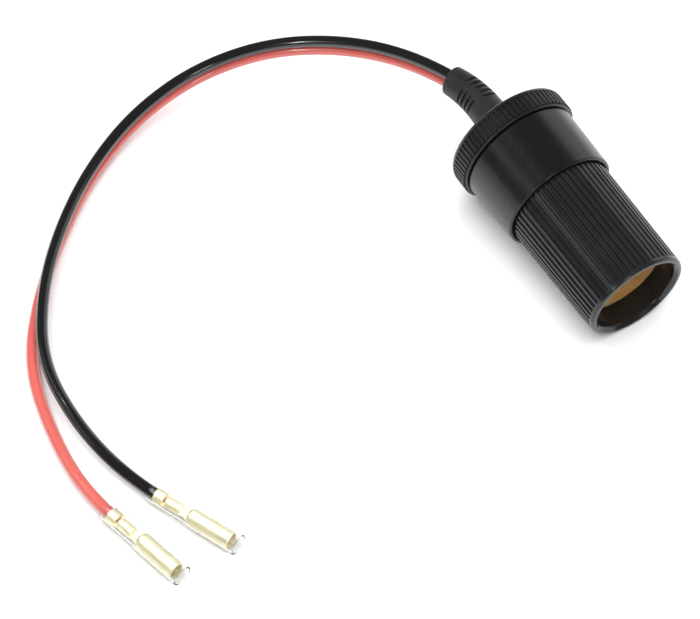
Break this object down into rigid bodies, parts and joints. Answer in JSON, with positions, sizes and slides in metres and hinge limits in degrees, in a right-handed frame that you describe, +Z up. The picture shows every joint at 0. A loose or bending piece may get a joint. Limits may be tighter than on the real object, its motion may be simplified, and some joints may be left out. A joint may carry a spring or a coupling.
{
  "type": "cigarette lighter socket adapter",
  "caption": "In-line vehicle accessory socket with a ribbed barrel, knurled screw cap and moulded strain relief, on a twin lead ending in sleeved bullet receptacles.",
  "frame": {"origin": "on the floor under the middle of the socket's box, its lead not counted", "axes": "+X along the socket, out of its mouth (level; the socket itself dips 3.6 degrees towards the mouth), +Z up, +Y to the left seen from behind the socket"},
  "size_m": [0.1313, 0.1617, 0.0348],
  "materials": {
    "ribbed_plastic": "satin moulded, fine texture",
    "sleeve_plastic": "semi-gloss moulded",
    "cap_plastic": "satin moulded, knurled",
    "boot_pvc": "soft matt",
    "black_pvc": "glossy extruded",
    "red_pvc": "glossy extruded",
    "shell_brass": "drawn, bright",
    "contact_brass": "turned, bright",
    "tag_brass": "stamped",
    "bullet_brass": "stamped and rolled, bright",
    "copper": "stranded copper",
    "bush_plastic": "moulded phenolic",
    "fibre_board": "pressed fibre",
    "clear_pvc": "clear, glossy"
  },
  "bodies": {
    "socket": {"front_barrel": "ribbed_plastic", "rear_sleeve": "sleeve_plastic", "strain_relief": "boot_pvc", "contact_shell": "shell_brass", "centre_contact": "contact_brass", "inner_bush": "bush_plastic", "insulating_disc": "fibre_board", "positive_tag": "tag_brass", "negative_tag": "tag_brass", "negative_rivet": "contact_brass", "black_inner_lead": "black_pvc", "red_inner_lead": "red_pvc", "black_inner_strands": "copper", "red_inner_strands": "copper", "black_wire": "black_pvc", "red_wire": "red_pvc", "black_strands": "copper", "red_strands": "copper", "black_bullet": "bullet_brass", "red_bullet": "bullet_brass", "black_boot_sleeve": "clear_pvc", "red_boot_sleeve": "clear_pvc"},
    "cap": {"end_cap": "cap_plastic"}
  },
  "joints": [
    {"name": "cap_draw_back", "type": "slide", "parent": "socket", "child": "cap", "axis": [-0.998, 0, 0.0628], "range_m": [0, 0.011]}
  ]
}
